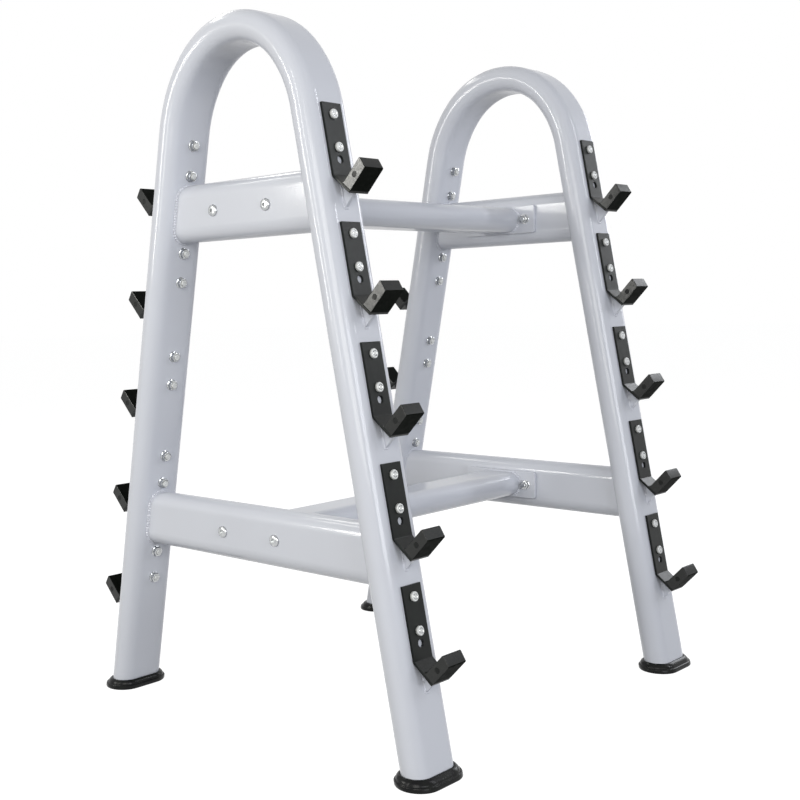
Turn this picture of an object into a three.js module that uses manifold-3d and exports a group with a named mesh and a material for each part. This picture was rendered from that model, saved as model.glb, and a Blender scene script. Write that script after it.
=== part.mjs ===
// Barbell storage rack: two arched side frames of flat-oval steel tube stand side by side, joined by two tie
// tubes. Each leg carries a column of hooks, and a bar lies in the hooks of one level on both frames.
// Millimetres, +Z up. The origin is on the floor under the middle of the rack. The bars lie along X, from the
// left frame at -X to the right frame at +X. The front legs are at -Y.

import * as THREE from 'three';
import { mergeVertices } from 'three/addons/utils/BufferGeometryUtils.js';
import Module from 'manifold-3d';

const wasm = await Module();
wasm.setup();

// Whole rack
const FRAME_SPACING = 862; // between the middle planes of the two side frames
const LEG_SPREAD = 830; // between the middles of a frame's two legs, at the floor
const ARCH_HEIGHT = 1353; // middle of the tube at the top of the arch

// Flat-oval tube of the arches, crossbars and tie tubes
const TUBE_WIDTH = 114;
const TUBE_THICKNESS = 57;
const TUBE_WALL = 3;
const OVAL_STEPS = 8; // flats round each narrow side

// Bends of the arch, measured along the middle of the tube
const CROWN_RADIUS = 170;
const CROWN_HALF_ANGLE = THREE.MathUtils.degToRad( 48.4 );
const SHOULDER_RADIUS = 238;
const CROWN_STEPS = 8;
const SHOULDER_STEPS = 3;

// Bolts, nuts and their holes
const BOLT_RADIUS = 6;
const BOLT_CLEARANCE = 0.5; // between a shank and its hole
const BOLT_END = 3; // shank showing past the nut
const HEAD_RADIUS = 10.75;
const HEAD_RIM = 2.5;
const HEAD_HEIGHT = 5;
const HEAD_TOP_RADIUS = 8.5;
const NUT_RADIUS = 10.9; // to the corners
const NUT_HEIGHT = 10;
const BOLT_STEPS = 8;
const NUT_SIDES = 6;

// Hook: a bent strip bolted flat to the leg, with a thick arm that rises from its sloping end
const HOOK_WIDTH = 50;
const HOOK_STRIP = 5;
const HOOK_HEAD = 21.5; // from the upper bolt to the strip's top edge
const HOOK_BOLT_SPACING = 60;
const SPARE_HOLE_DROP = 21.75; // below the lower bolt
const SPARE_HOLE_RADIUS = 6.8;
const BEND_DROP = 30.25; // below the spare hole
const SLOPE_ANGLE = THREE.MathUtils.degToRad( 39.4 ); // away from the leg
const SLOPE_LENGTH = 50.8;
const ARM_ANGLE = THREE.MathUtils.degToRad( 36.1 ); // above the square to the leg
const ARM_LENGTH = 55.3;
const ARM_THICKNESS = 22.3;
const ARM_TIP_SLANT = 6;
const ARM_CORNER = 2.5;
const CORNER_STEPS = 2;

// Gusset plate that props each hook's slope from the leg
const GUSSET_THICKNESS = 8;
const GUSSET_SLOPE = 44; // along the hook's slope
const GUSSET_LEG = 56; // down the leg from the hook's bend
const GUSSET_ROOT = 1; // depth of the weld into the tube's wall

// Column of hooks on a leg
const LEVEL_GAP = 25.5; // from the foot of a gusset to the next hook's top edge
const TOP_HOOK_CLEARANCE = 2; // from the top hook to the start of the bend
const LOWEST_CLEARANCE = 100; // least distance from the lowest gusset to the foot

// End plates of the tie tubes, bolted to the crossbars
const PLATE_THICKNESS = 8;
const PLATE_LIP = 3.5; // above and below the tie tube
const PLATE_BOLT_MARGIN = 16; // from the tie tube's side to the bolt
const PLATE_EDGE = 25; // from the bolt to the plate's end
const PLATE_CORNER = 6;

// Rubber feet
const FOOT_RIM = 14; // how far the rim stands out from the leg
const FOOT_COLLAR = 4; // wall at the foot's top edge
const FOOT_LIP = 10; // height of the rim's upright side
const FOOT_HEIGHT = 20;
const FOOT_PAD = 8; // under the end of the leg
const FOOT_STEPS = 2;

const GAP = 0.3; // between pieces that touch
const OVERRUN = 10; // how far a cut reaches past what it cuts
const MERGE_DISTANCE = 0.001;

// Arch geometry. Headings are measured from +Z towards +Y along the arch, from the front foot over the top.
// The legs are the tangents from the floor to the shoulder arcs, which sets their lean.
const SHOULDER_END = Math.PI / 2 - CROWN_HALF_ANGLE;
const RADIUS_STEP = SHOULDER_RADIUS - CROWN_RADIUS;
const CROWN_CENTRE = ARCH_HEIGHT - CROWN_RADIUS;
const SHOULDER_RUN = LEG_SPREAD / 2 + RADIUS_STEP * Math.cos( SHOULDER_END );
const SHOULDER_RISE = CROWN_CENTRE - RADIUS_STEP * Math.sin( SHOULDER_END );
const LEAN = Math.acos( SHOULDER_RADIUS / Math.hypot( SHOULDER_RUN, SHOULDER_RISE ) )
	- Math.atan2( SHOULDER_RISE, SHOULDER_RUN );
const LEG_LENGTH = SHOULDER_RUN * Math.sin( LEAN ) + SHOULDER_RISE * Math.cos( LEAN );

// Places along a leg are distances up its middle line from the floor
const BEND_BELOW_BOLT = HOOK_BOLT_SPACING + SPARE_HOLE_DROP + BEND_DROP;
const LEVEL_PITCH = HOOK_HEAD + BEND_BELOW_BOLT + GUSSET_LEG + LEVEL_GAP;
const TOP_LEVEL = LEG_LENGTH - TOP_HOOK_CLEARANCE - HOOK_HEAD;
const LOWEST_LEVEL = FOOT_HEIGHT / Math.cos( LEAN ) + LOWEST_CLEARANCE + GUSSET_LEG + BEND_BELOW_BOLT;
const LEVEL_COUNT = 1 + Math.floor( ( TOP_LEVEL - LOWEST_LEVEL ) / LEVEL_PITCH );
const LEVELS = Array.from( { length: LEVEL_COUNT }, ( _, i ) => TOP_LEVEL - i * LEVEL_PITCH );

// Each crossbar meets the legs midway between the bolts of two neighbouring hooks
const CROSSBAR_DROP = ( HOOK_BOLT_SPACING + LEVEL_PITCH ) / 2;
const CROSSBARS = [
	{ name: 'upper', height: innerFaceHeight( LEVELS[ 0 ] - CROSSBAR_DROP ) },
	{ name: 'lower', height: innerFaceHeight( LEVELS[ LEVEL_COUNT - 2 ] - CROSSBAR_DROP ) }
];

const TIE_BOLT_OFFSET = TUBE_WIDTH / 2 + PLATE_BOLT_MARGIN;
const PLATE_FACE = FRAME_SPACING / 2 - TUBE_THICKNESS / 2 - GAP - PLATE_THICKNESS;
const TIE_LENGTH = 2 * ( PLATE_FACE - GAP );

const FRAMES = [ { name: 'left', side: - 1 }, { name: 'right', side: 1 } ];
const LEGS = [ { name: 'front', turn: 0 }, { name: 'back', turn: Math.PI } ];

function innerFaceHeight( distance ) {

	return distance * Math.cos( LEAN ) - TUBE_THICKNESS / 2 * Math.sin( LEAN );

}

// Materials

function finish( color, roughness, metalness ) {

	return new THREE.MeshStandardMaterial( { color, roughness, metalness, flatShading: true } );

}

function framePaint() {

	return finish( 0xc3c7d2, 0.32, 0.35 );

}

function hookBlack() {

	return finish( 0x26282b, 0.5, 0.2 );

}

function zincPlate() {

	return finish( 0xd9dbde, 0.28, 0.9 );

}

function footRubber() {

	return finish( 0x232526, 0.7, 0 );

}

// Solids

function solidOf( geometry ) {

	geometry.deleteAttribute( 'normal' );
	geometry.deleteAttribute( 'uv' );
	const merged = mergeVertices( geometry, MERGE_DISTANCE );
	const triVerts = [];
	for ( let i = 0; i < merged.index.count; i += 3 ) {

		const corners = [ merged.index.getX( i ), merged.index.getX( i + 1 ), merged.index.getX( i + 2 ) ];
		if ( new Set( corners ).size === 3 ) triVerts.push( ...corners );

	}

	return new wasm.Manifold( new wasm.Mesh( {
		numProp: 3,
		vertProperties: merged.attributes.position.array,
		triVerts: Uint32Array.from( triVerts )
	} ) );

}

function geometryOf( solid ) {

	const { vertProperties, triVerts } = solid.getMesh();
	const geometry = new THREE.BufferGeometry();
	geometry.setAttribute( 'position', new THREE.BufferAttribute( vertProperties, 3 ) );
	geometry.setIndex( new THREE.BufferAttribute( triVerts, 1 ) );
	return geometry;

}

function extruded( shape, depth ) {

	const geometry = new THREE.ExtrudeGeometry( shape, { depth, bevelEnabled: false } );
	return geometry.translate( 0, 0, - depth / 2 );

}

// Cylinder along Y for a bolt hole, faceted in line with the bolt's shank
function holeRod( radius, length ) {

	return new THREE.CylinderGeometry( radius, radius, length, BOLT_STEPS );

}

// Outlines

// Flat oval of the tube: two half circles joined by flats, wide along the shape's x
function ovalPoints( width, thickness ) {

	const radius = thickness / 2;
	const offset = width / 2 - radius;
	const points = [];
	for ( const side of [ 1, - 1 ] ) {

		for ( let i = 0; i <= OVAL_STEPS; i ++ ) {

			const angle = Math.PI * ( i / OVAL_STEPS - 1 / 2 );
			const point = new THREE.Vector2( offset + radius * Math.cos( angle ), radius * Math.sin( angle ) );
			points.push( point.multiplyScalar( side ) );

		}

	}

	return points;

}

function oval( width, thickness ) {

	return new THREE.Shape( ovalPoints( width, thickness ) );

}

function tubeSection() {

	const shape = oval( TUBE_WIDTH, TUBE_THICKNESS );
	const bore = ovalPoints( TUBE_WIDTH - 2 * TUBE_WALL, TUBE_THICKNESS - 2 * TUBE_WALL );
	shape.holes.push( new THREE.Path( bore ) );
	return shape;

}

function circlePath( x, y, radius ) {

	const points = [];
	for ( let i = 0; i < BOLT_STEPS; i ++ ) {

		const angle = 2 * Math.PI * i / BOLT_STEPS;
		points.push( new THREE.Vector2( x + radius * Math.cos( angle ), y + radius * Math.sin( angle ) ) );

	}

	return new THREE.Path( points );

}

// Where the line through a along the direction u crosses the line through b along v
function crossing( a, u, b, v ) {

	const distance = b.clone().sub( a ).cross( v ) / u.cross( v );
	return a.clone().addScaledVector( u, distance );

}

// A corner of an outline, rounded between its neighbours
function roundedCorner( before, corner, after, radius ) {

	const back = before.clone().sub( corner ).normalize();
	const ahead = after.clone().sub( corner ).normalize();
	const halfAngle = Math.acos( back.dot( ahead ) ) / 2;
	const start = corner.clone().addScaledVector( back, radius / Math.tan( halfAngle ) );
	const end = corner.clone().addScaledVector( ahead, radius / Math.tan( halfAngle ) );
	const middle = back.add( ahead ).normalize();
	const centre = corner.clone().addScaledVector( middle, radius / Math.sin( halfAngle ) );
	const sweep = Math.PI - 2 * halfAngle;
	const turn = Math.sign( start.clone().sub( centre ).cross( end.clone().sub( centre ) ) );
	const points = [];
	for ( let i = 0; i <= CORNER_STEPS; i ++ ) {

		points.push( start.clone().rotateAround( centre, turn * sweep * i / CORNER_STEPS ) );

	}

	return points;

}

// Hook outlines are drawn outward from the leg's face and upward along the leg, from the upper bolt
const SLOPE_DOWN = new THREE.Vector2( Math.sin( SLOPE_ANGLE ), - Math.cos( SLOPE_ANGLE ) );
const SLOPE_UP_FACE = new THREE.Vector2( Math.cos( SLOPE_ANGLE ), Math.sin( SLOPE_ANGLE ) );
const HOOK_HEEL = new THREE.Vector2( GAP, - BEND_BELOW_BOLT );

function hookOutline() {

	const armOut = new THREE.Vector2( Math.cos( ARM_ANGLE ), Math.sin( ARM_ANGLE ) );
	const armUp = new THREE.Vector2( - Math.sin( ARM_ANGLE ), Math.cos( ARM_ANGLE ) );
	const elbow = HOOK_HEEL.clone().addScaledVector( SLOPE_DOWN, SLOPE_LENGTH );
	const tipLow = elbow.clone().addScaledVector( armOut, ARM_LENGTH );
	const tipHigh = tipLow.clone().addScaledVector( armUp, ARM_THICKNESS );
	tipHigh.addScaledVector( armOut, ARM_TIP_SLANT );
	const slopeFace = HOOK_HEEL.clone().addScaledVector( SLOPE_UP_FACE, HOOK_STRIP );
	const stripFace = new THREE.Vector2( GAP + HOOK_STRIP, HOOK_HEAD );
	const bend = crossing( stripFace, new THREE.Vector2( 0, 1 ), slopeFace, SLOPE_DOWN );
	const cradle = crossing( tipHigh, armOut, slopeFace, SLOPE_DOWN );
	return new THREE.Shape( [
		new THREE.Vector2( GAP, HOOK_HEAD ),
		HOOK_HEEL,
		...roundedCorner( HOOK_HEEL, elbow, tipLow, ARM_CORNER ),
		...roundedCorner( elbow, tipLow, tipHigh, ARM_CORNER ),
		...roundedCorner( tipLow, tipHigh, cradle, ARM_CORNER ),
		cradle,
		bend,
		stripFace
	] );

}

function gussetOutline() {

	const top = HOOK_HEEL.clone().addScaledVector( SLOPE_UP_FACE, - GAP );
	const root = crossing( top, SLOPE_DOWN, new THREE.Vector2( - GUSSET_ROOT, 0 ), new THREE.Vector2( 0, 1 ) );
	const foot = - BEND_BELOW_BOLT - GUSSET_LEG;
	return new THREE.Shape( [
		root,
		new THREE.Vector2( - GUSSET_ROOT, foot ),
		new THREE.Vector2( 0, foot ),
		top.clone().addScaledVector( SLOPE_DOWN, GUSSET_SLOPE )
	] );

}

// Turns a shape drawn outward and upward into a piece on the leg's outer face, which looks towards -Y
function sideways( geometry ) {

	return geometry.rotateX( Math.PI / 2 ).rotateZ( - Math.PI / 2 );

}

// Arches

// Middle line of an arch in its own plane. Its parameter counts the steps evenly, whatever their length, and a
// straight leg is one step.
class ArchPath extends THREE.Curve {

	constructor() {

		super();
		const headings = [];
		for ( let i = 0; i < SHOULDER_STEPS; i ++ ) {

			headings.push( LEAN + ( SHOULDER_END - LEAN ) * i / SHOULDER_STEPS );

		}

		for ( let i = 0; i < CROWN_STEPS / 2; i ++ ) {

			headings.push( SHOULDER_END + CROWN_HALF_ANGLE * 2 * i / CROWN_STEPS );

		}

		const mirrored = headings.map( ( heading ) => Math.PI - heading ).reverse();
		this.headings = [ LEAN, ...headings, Math.PI / 2, ...mirrored, Math.PI - LEAN ];
		this.steps = this.headings.length - 1;

	}

	getUtoTmapping( u ) {

		return u;

	}

	getPoint( t, target = new THREE.Vector3() ) {

		const index = Math.round( t * this.steps );
		const heading = this.headings[ index ];
		const onCrown = Math.abs( heading - Math.PI / 2 ) < CROWN_HALF_ANGLE;
		const radius = onCrown ? CROWN_RADIUS : SHOULDER_RADIUS;
		const end = heading < Math.PI / 2 ? SHOULDER_END : Math.PI - SHOULDER_END;
		const offset = CROWN_RADIUS - radius;
		target.set( 0, - offset * Math.cos( end ) - radius * Math.cos( heading ),
			CROWN_CENTRE + offset * Math.sin( end ) + radius * Math.sin( heading ) );
		if ( index === 0 ) target.addScaledVector( this.getTangent( t ), - LEG_LENGTH - TUBE_THICKNESS );
		if ( index === this.steps ) target.addScaledVector( this.getTangent( t ), LEG_LENGTH + TUBE_THICKNESS );
		return target;

	}

	getTangent( t, target = new THREE.Vector3() ) {

		const heading = this.headings[ Math.round( t * this.steps ) ];
		return target.set( 0, Math.sin( heading ), Math.cos( heading ) );

	}

}

function archSweep( width, thickness ) {

	const path = new ArchPath();
	const sweep = { steps: path.steps, extrudePath: path };
	return solidOf( new THREE.ExtrudeGeometry( oval( width, thickness ), sweep ) );

}

// Everything in a side frame's space below the given height
function groundBlock( height ) {

	const depth = height + 2 * TUBE_THICKNESS;
	const block = new THREE.BoxGeometry( 2 * TUBE_WIDTH, LEG_SPREAD + 4 * TUBE_THICKNESS, depth );
	return solidOf( block.translate( 0, 0, height - depth / 2 ) );

}

// Moves a piece drawn on the leg's middle line, with Z along the leg, to one of the two legs of a side frame
function standOnLeg( geometry, leg ) {

	return geometry.rotateX( - LEAN ).translate( 0, - LEG_SPREAD / 2, 0 ).rotateZ( leg.turn );

}

function archSolid() {

	let arch = archSweep( TUBE_WIDTH, TUBE_THICKNESS );
	const holes = [];
	for ( const leg of LEGS ) {

		for ( const level of LEVELS ) {

			const gusset = sideways( extruded( gussetOutline(), GUSSET_THICKNESS ) );
			arch = arch.add( solidOf( standOnLeg( gusset.translate( 0, - TUBE_THICKNESS / 2, level ), leg ) ) );
			for ( const height of [ level, level - HOOK_BOLT_SPACING ] ) {

				const hole = holeRod( BOLT_RADIUS + BOLT_CLEARANCE, TUBE_THICKNESS + OVERRUN );
				holes.push( solidOf( standOnLeg( hole.translate( 0, 0, height ), leg ) ) );

			}

		}

	}

	arch = arch.subtract( archSweep( TUBE_WIDTH - 2 * TUBE_WALL, TUBE_THICKNESS - 2 * TUBE_WALL ) );
	for ( const hole of holes ) arch = arch.subtract( hole );
	return arch.subtract( groundBlock( FOOT_PAD + GAP ) );

}

// Crossbars: the tube set on edge between the legs, its ends cut to the slant of the legs' inner faces

function crossbarSolid( height ) {

	const bar = extruded( tubeSection(), LEG_SPREAD ).rotateZ( Math.PI / 2 ).rotateX( Math.PI / 2 );
	let crossbar = solidOf( bar.translate( 0, 0, height ) );
	const top = height + TUBE_WIDTH;
	const atFloor = ( LEG_SPREAD - ( TUBE_THICKNESS + 2 * GAP ) / Math.cos( LEAN ) ) / 2;
	const atTop = atFloor - top * Math.tan( LEAN );
	const between = new THREE.Shape( [
		new THREE.Vector2( - atFloor, 0 ),
		new THREE.Vector2( atFloor, 0 ),
		new THREE.Vector2( atTop, top ),
		new THREE.Vector2( - atTop, top )
	] );
	crossbar = crossbar.intersect( solidOf( sideways( extruded( between, TUBE_WIDTH ) ) ) );
	for ( const side of [ - 1, 1 ] ) {

		const hole = holeRod( BOLT_RADIUS + BOLT_CLEARANCE, TUBE_THICKNESS + OVERRUN ).rotateZ( Math.PI / 2 );
		crossbar = crossbar.subtract( solidOf( hole.translate( 0, side * TIE_BOLT_OFFSET, height ) ) );

	}

	return crossbar;

}

// Tie tubes and their end plates, drawn round their own middle

function tieTubeGeometry() {

	return extruded( tubeSection(), TIE_LENGTH ).rotateX( Math.PI / 2 ).rotateZ( Math.PI / 2 );

}

function endPlateGeometry() {

	const across = TIE_BOLT_OFFSET + PLATE_EDGE;
	const up = TUBE_THICKNESS / 2 + PLATE_LIP;
	const corners = [ [ - across, - up ], [ across, - up ], [ across, up ], [ - across, up ] ]
		.map( ( [ x, y ] ) => new THREE.Vector2( x, y ) );
	const points = corners.flatMap( ( corner, i ) =>
		roundedCorner( corners.at( i - 1 ), corner, corners[ ( i + 1 ) % corners.length ], PLATE_CORNER ) );
	const shape = new THREE.Shape( points );
	for ( const side of [ - 1, 1 ] ) {

		shape.holes.push( circlePath( side * TIE_BOLT_OFFSET, 0, BOLT_RADIUS + BOLT_CLEARANCE ) );

	}

	return extruded( shape, PLATE_THICKNESS ).rotateX( Math.PI / 2 ).rotateZ( Math.PI / 2 );

}

// Bolts lie along Y, from the domed head's seat at the origin inwards, the head towards -Y

function boltGeometry( length ) {

	return new THREE.LatheGeometry( [
		new THREE.Vector2( 0, - HEAD_HEIGHT ),
		new THREE.Vector2( HEAD_TOP_RADIUS, - HEAD_HEIGHT ),
		new THREE.Vector2( HEAD_RADIUS, - HEAD_RIM ),
		new THREE.Vector2( HEAD_RADIUS, 0 ),
		new THREE.Vector2( BOLT_RADIUS, 0 ),
		new THREE.Vector2( BOLT_RADIUS, length ),
		new THREE.Vector2( 0, length )
	], BOLT_STEPS );

}

function nutBlank() {

	return solidOf( new THREE.CylinderGeometry( NUT_RADIUS, NUT_RADIUS, NUT_HEIGHT, NUT_SIDES ) );

}

// Hook with its two bolts and their nuts, drawn from the leg's outer face at the upper bolt

function hookSolid() {

	let hook = solidOf( sideways( extruded( hookOutline(), HOOK_WIDTH ) ) );
	const seat = GAP + HOOK_STRIP;
	const nutSeat = TUBE_THICKNESS + GAP;
	for ( const height of [ 0, - HOOK_BOLT_SPACING ] ) {

		const bolt = solidOf( boltGeometry( seat + nutSeat + NUT_HEIGHT + BOLT_END ) );
		hook = hook.add( bolt.translate( [ 0, - seat, height ] ) );
		hook = hook.add( nutBlank().translate( [ 0, nutSeat + NUT_HEIGHT / 2, height ] ) );

	}

	const spareHole = solidOf( holeRod( SPARE_HOLE_RADIUS, 2 * ( seat + OVERRUN ) ) );
	return hook.subtract( spareHole.translate( [ 0, 0, - HOOK_BOLT_SPACING - SPARE_HOLE_DROP ] ) );

}

// Foot: a rubber boot under the leg, its skirt following the leg's lean

function footSolid() {

	const flare = FOOT_RIM - FOOT_COLLAR;
	const legDepth = TUBE_THICKNESS / Math.cos( LEAN );
	const outline = oval( TUBE_WIDTH + 2 * FOOT_RIM, legDepth + 2 * FOOT_RIM );
	const skirt = new THREE.ExtrudeGeometry( outline, {
		depth: FOOT_LIP,
		bevelThickness: FOOT_HEIGHT - FOOT_LIP,
		bevelSize: flare,
		bevelOffset: - flare,
		bevelSegments: FOOT_STEPS
	} );
	const lean = new THREE.Matrix4().makeShear( 0, 0, 0, 0, 0, Math.tan( LEAN ) );
	const boot = solidOf( skirt.applyMatrix4( lean ).translate( 0, - LEG_SPREAD / 2, 0 ) );
	const leg = archSweep( TUBE_WIDTH + 2 * GAP, TUBE_THICKNESS + 2 * GAP );
	return boot.subtract( groundBlock( 0 ) ).subtract( leg.subtract( groundBlock( FOOT_PAD ) ) );

}

// Assembly

const arch = geometryOf( archSolid() );
const hook = geometryOf( hookSolid() );
const foot = geometryOf( footSolid() );
const crossbars = CROSSBARS.map( ( { height } ) => geometryOf( crossbarSolid( height ) ) );
const endPlate = endPlateGeometry();
const tieTube = tieTubeGeometry();
const nutBore = solidOf( holeRod( BOLT_RADIUS + GAP, NUT_HEIGHT + OVERRUN ) );
const tieNut = geometryOf( nutBlank().subtract( nutBore ) );
const tieBolt = boltGeometry( TUBE_THICKNESS + PLATE_THICKNESS + 3 * GAP + NUT_HEIGHT + BOLT_END );

function piece( name, geometry, material ) {

	const mesh = new THREE.Mesh( geometry, material );
	mesh.name = name;
	return mesh;

}

// One leg of a side frame, its Z running up the leg's middle line, with its hooks
function hookColumn( frameName, legName ) {

	const column = new THREE.Group();
	column.position.y = - LEG_SPREAD / 2;
	column.rotation.x = - LEAN;
	LEVELS.forEach( ( level, i ) => {

		const mesh = piece( `hook_${ frameName }_${ legName }_${ i + 1 }`, hook, hookBlack() );
		mesh.position.set( 0, - TUBE_THICKNESS / 2, level );
		column.add( mesh );

	} );
	return column;

}

function sideFrame( name ) {

	const frame = new THREE.Group();
	frame.add( piece( `arch_${ name }`, arch, framePaint() ) );
	CROSSBARS.forEach( ( bar, i ) => {

		frame.add( piece( `crossbar_${ name }_${ bar.name }`, crossbars[ i ], framePaint() ) );

	} );
	for ( const leg of LEGS ) {

		const half = new THREE.Group();
		half.rotation.z = leg.turn;
		half.add( hookColumn( name, leg.name ) );
		half.add( piece( `foot_${ name }_${ leg.name }`, foot, footRubber() ) );
		frame.add( half );

	}

	return frame;

}

// The joint of a tie tube's end to a crossbar: the end plate, and bolts from the crossbar's outer face
function tieJoint( frame, bar ) {

	const joint = new THREE.Group();
	const plate = piece( `end_plate_${ frame.name }_${ bar.name }`, endPlate, framePaint() );
	plate.position.x = - PLATE_FACE - PLATE_THICKNESS / 2;
	joint.add( plate );
	for ( const side of [ - 1, 1 ] ) {

		const place = `${ frame.name }_${ bar.name }_${ side * frame.side > 0 ? 'front' : 'back' }`;
		const bolt = piece( `tie_bolt_${ place }`, tieBolt, zincPlate() );
		bolt.position.set( - ( FRAME_SPACING + TUBE_THICKNESS ) / 2 - GAP, side * TIE_BOLT_OFFSET, 0 );
		bolt.rotation.z = - Math.PI / 2;
		joint.add( bolt );
		const nut = piece( `tie_nut_${ place }`, tieNut, zincPlate() );
		nut.position.set( - PLATE_FACE + GAP + NUT_HEIGHT / 2, side * TIE_BOLT_OFFSET, 0 );
		nut.rotation.z = - Math.PI / 2;
		joint.add( nut );

	}

	return joint;

}

const rack = new THREE.Group();
for ( const frame of FRAMES ) {

	const sides = sideFrame( frame.name );
	sides.position.x = frame.side * FRAME_SPACING / 2;
	rack.add( sides );

}

for ( const bar of CROSSBARS ) {

	const level = new THREE.Group();
	level.position.z = bar.height;
	level.add( piece( `tie_tube_${ bar.name }`, tieTube, framePaint() ) );
	for ( const frame of FRAMES ) {

		const joint = tieJoint( frame, bar );
		joint.rotation.z = frame.side < 0 ? 0 : Math.PI;
		level.add( joint );

	}

	rack.add( level );

}

export default rack;
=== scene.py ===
"""Looks of the barbell storage rack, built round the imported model.

Metres, Z up. The bars that the rack stores lie along X, and its front is at -Y.
"""

import math

import bmesh
import bpy
from mathutils import Matrix, Vector


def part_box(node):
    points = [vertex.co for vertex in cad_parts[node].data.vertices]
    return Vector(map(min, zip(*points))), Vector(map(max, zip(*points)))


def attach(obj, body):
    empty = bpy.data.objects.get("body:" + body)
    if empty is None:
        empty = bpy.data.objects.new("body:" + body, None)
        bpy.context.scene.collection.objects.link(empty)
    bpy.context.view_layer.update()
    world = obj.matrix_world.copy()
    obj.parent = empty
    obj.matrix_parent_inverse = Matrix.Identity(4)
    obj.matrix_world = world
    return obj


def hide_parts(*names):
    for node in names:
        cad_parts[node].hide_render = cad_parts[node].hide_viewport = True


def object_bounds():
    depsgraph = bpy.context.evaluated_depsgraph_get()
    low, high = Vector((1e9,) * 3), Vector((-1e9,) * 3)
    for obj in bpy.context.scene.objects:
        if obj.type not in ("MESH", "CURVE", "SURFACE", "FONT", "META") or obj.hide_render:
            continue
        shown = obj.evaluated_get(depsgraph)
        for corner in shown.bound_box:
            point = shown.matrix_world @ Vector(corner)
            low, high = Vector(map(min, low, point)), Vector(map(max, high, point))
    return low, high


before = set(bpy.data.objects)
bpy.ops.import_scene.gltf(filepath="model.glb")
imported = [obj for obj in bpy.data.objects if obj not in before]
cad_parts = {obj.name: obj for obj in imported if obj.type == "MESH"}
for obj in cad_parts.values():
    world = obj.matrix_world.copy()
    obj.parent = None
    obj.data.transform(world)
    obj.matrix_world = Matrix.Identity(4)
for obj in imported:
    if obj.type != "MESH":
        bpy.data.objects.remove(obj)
cad_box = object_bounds()
scene = bpy.context.scene

# Tube and side frames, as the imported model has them
FRAME_SPACING = 0.862
LEG_SPREAD = 0.830
TUBE_WIDTH = 0.114
TUBE_THICKNESS = 0.057
CROWN_RADIUS = 0.170
CROWN_HALF_ANGLE = math.radians(48.4)
SHOULDER_RADIUS = 0.238
LEG_END = 0.014  # where a leg ends inside its foot, up the leg from the floor
TUBE_SINK = 0.0005  # how far a welded tube's end runs into what it is welded to

# Roundness of the tubes
OVAL_STEPS = 20
CROWN_STEPS = 44
SHOULDER_STEPS = 12
FLAT_MARGIN = 0.002  # keeps the shading of the flats level up to their edges
LEG_SPANS = 6

# Hooks, measured outward from the leg's face and up the leg from the upper bolt
GAP = 0.0003
HOOK_WIDTH = 0.050
HOOK_STRIP = 0.005
HOOK_HEAD = 0.0215
BOLT_SPACING = 0.060
SPARE_HOLE_DROP = 0.02175
SPARE_HOLE_RADIUS = 0.0073
HOLE_EDGE = 0.0005
BEND_DROP = 0.03025
SLOPE_ANGLE = math.radians(39.4)
SLOPE_LENGTH = 0.0508
ARM_ANGLE = math.radians(36.1)
ARM_LENGTH = 0.0553
ARM_THICKNESS = 0.0223
ARM_TIP_SLANT = 0.006
ARM_CORNER = 0.0025
ARM_EDGE = 0.0011
ARM_EDGE_STEPS = 3
ARM_FILLET = 0.004  # inside corner between the arm and the slope
BEND_INSIDE = 0.003
STRIP_EDGE = 0.0007
DIMPLE_RADIUS = 0.0055
DIMPLE_DEPTH = 0.0006
DIMPLE_SHARE = 0.57  # of the arm's length, from the elbow
LEVEL_COUNT = 5
LEVEL_PITCH = 0.215
TOP_HOOK_CLEARANCE = 0.002

# Gussets under the hooks' slopes
GUSSET_THICKNESS = 0.008
GUSSET_SLOPE = 0.044
GUSSET_LEG = 0.056
GUSSET_ROOT = 0.001
GUSSET_EDGE = 0.001

# Bolts and nuts
BOLT_RADIUS = 0.006
BOLT_END = 0.003
THREAD_PITCH = 0.00175
THREAD_DEPTH = 0.0005
THREAD_TURNS = 3  # at the shank's end, where it stands out of its nut
HEAD_HEIGHT = 0.005
HEAD_RADIUS = 0.0089  # of a hook bolt's head
HEAD_FLAT = 0.0072  # radius of its flat top
HEAD_GROOVE = 0.0046  # radius of the fine ring pressed into the top
GROOVE_WIDTH = 0.0011
GROOVE_DEPTH = 0.0007
CAP_RADIUS = 0.0011  # of the small face that closes a head's top in its middle
DOME_RADIUS = 0.0116  # of a crossbar bolt's head, which is domed
DOME_FLAT = 0.0058
DOME_SOCKET = 0.0035  # half the socket's width across its flats
SOCKET_DEPTH = 0.0028
SEAT_SHARE = 0.98  # the radius of a head's seat, as a share of the head's
SEAT_RISE_SHARE = 0.08  # the height over which the seat widens to the head, the same way
NUT_FLAT = 0.00944  # half the width across flats
NUT_HEIGHT = 0.010
NUT_FACE = 0.0086  # radius of the round face inside the chamfer
NUT_CHAMFER = math.radians(30)
NUT_BORE_EDGE = 0.0006
FLANGE_RADIUS = 0.0113
FLANGE_EDGE = 0.0013
FLANGE_RISE = 0.0010
TURN_STEPS = 36
HEAD_STEPS = 5
HEAD_ROUND_SHARE = 0.85  # most of a head's height that its rounding may take

# End plates
PLATE_CORNER = 0.006
PLATE_EDGE = 0.0012

# Feet
FOOT_RIM = 0.014
FOOT_PROFILE = [  # inward from the rim, and up
    (0.0030, 0.0000),
    (0.0010, 0.0005),
    (0.0000, 0.0020),
    (0.0000, 0.0074),
    (0.0004, 0.0089),
    (0.0014, 0.0098),
    (0.0024, 0.0100),
    (0.0030, 0.0095),
    (0.0034, 0.0099),
    (0.0037, 0.0112),
    (0.0045, 0.0134),
    (0.0060, 0.0158),
    (0.0080, 0.0181),
    (0.0098, 0.0194),
    (0.0112, 0.0200),
    (0.0128, 0.0198),
    (0.0137, 0.0186),
    (0.0142, 0.0150),
]

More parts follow.
